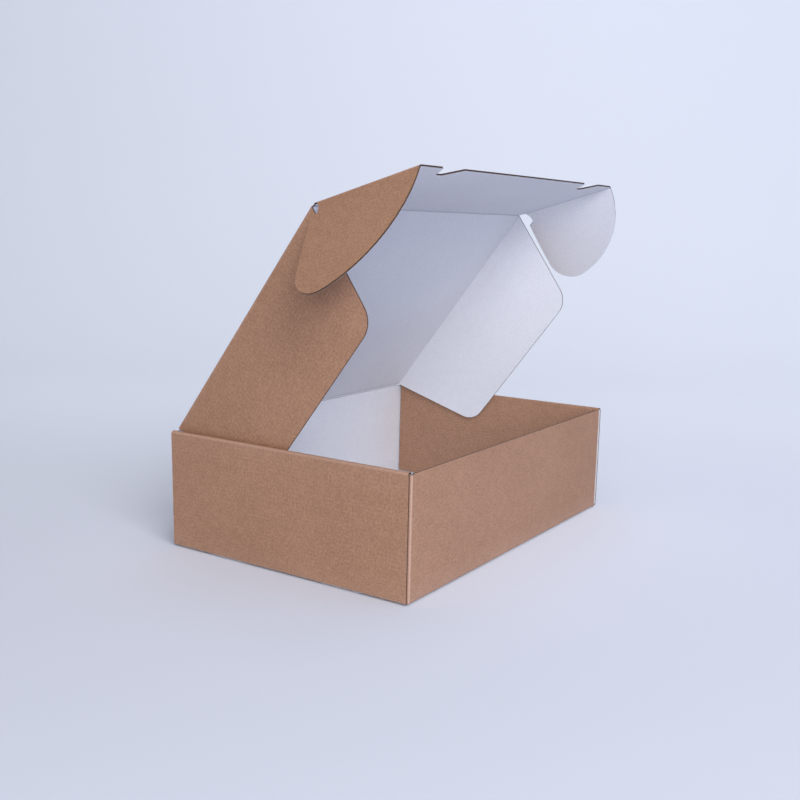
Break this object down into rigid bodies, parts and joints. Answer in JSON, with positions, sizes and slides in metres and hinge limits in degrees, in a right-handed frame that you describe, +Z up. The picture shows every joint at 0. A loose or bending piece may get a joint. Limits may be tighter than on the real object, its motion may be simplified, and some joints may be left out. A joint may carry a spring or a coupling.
{
  "type": "mailer box",
  "caption": "Folded corrugated mailer box: open tray with double side walls and a hinged lid with side flaps, a tuck flap and ears.",
  "frame": {"origin": "centre of the underside of the tray, on the surface it stands on", "axes": "+X along the width to the box's own right as seen from its front, +Y from the front wall to the hinge wall, +Z up"},
  "size_m": [0.4428, 0.24, 0.318],
  "materials": {
    "white_lined_kraft_board": "uncoated kraft liner outside, white liner inside"
  },
  "bodies": {
    "tray": {"tray": "white_lined_kraft_board"},
    "lid": {"lid_panel": "white_lined_kraft_board"},
    "side_flap_left": {"lid_side_flap_left": "white_lined_kraft_board"},
    "side_flap_right": {"lid_side_flap_right": "white_lined_kraft_board"},
    "tuck": {"tuck_flap": "white_lined_kraft_board"},
    "ear_left": {"ear_left": "white_lined_kraft_board"},
    "ear_right": {"ear_right": "white_lined_kraft_board"}
  },
  "joints": [
    {"name": "lid_hinge", "type": "hinge", "parent": "tray", "child": "lid", "pos_m": [0, 0.1193, 0.10125], "axis": [-1, 0, 0], "range_deg": [-52.3, 127.2]},
    {"name": "side_flap_left_fold", "type": "hinge", "parent": "lid", "child": "side_flap_left", "pos_m": [-0.1673, 0.11874, 0.10083], "axis": [0, -0.6046, 0.7965], "range_deg": [0, 80]},
    {"name": "side_flap_right_fold", "type": "hinge", "parent": "lid", "child": "side_flap_right", "pos_m": [0.1673, 0.11874, 0.10083], "axis": [0, 0.6046, -0.7965], "range_deg": [0, 80]},
    {"name": "tuck_fold", "type": "hinge", "parent": "lid", "child": "tuck", "pos_m": [0, -0.02384, 0.28983], "axis": [-1, 0, 0], "range_deg": [-54.8, 36.7]},
    {"name": "ear_left_fold", "type": "hinge", "parent": "tuck", "child": "ear_left", "pos_m": [-0.1696, -0.02384, 0.28983], "axis": [0, 0.9608, -0.2773], "range_deg": [-36, 54]},
    {"name": "ear_right_fold", "type": "hinge", "parent": "tuck", "child": "ear_right", "pos_m": [0.1696, -0.02384, 0.28983], "axis": [0, -0.9608, 0.2773], "range_deg": [-36, 54]}
  ]
}
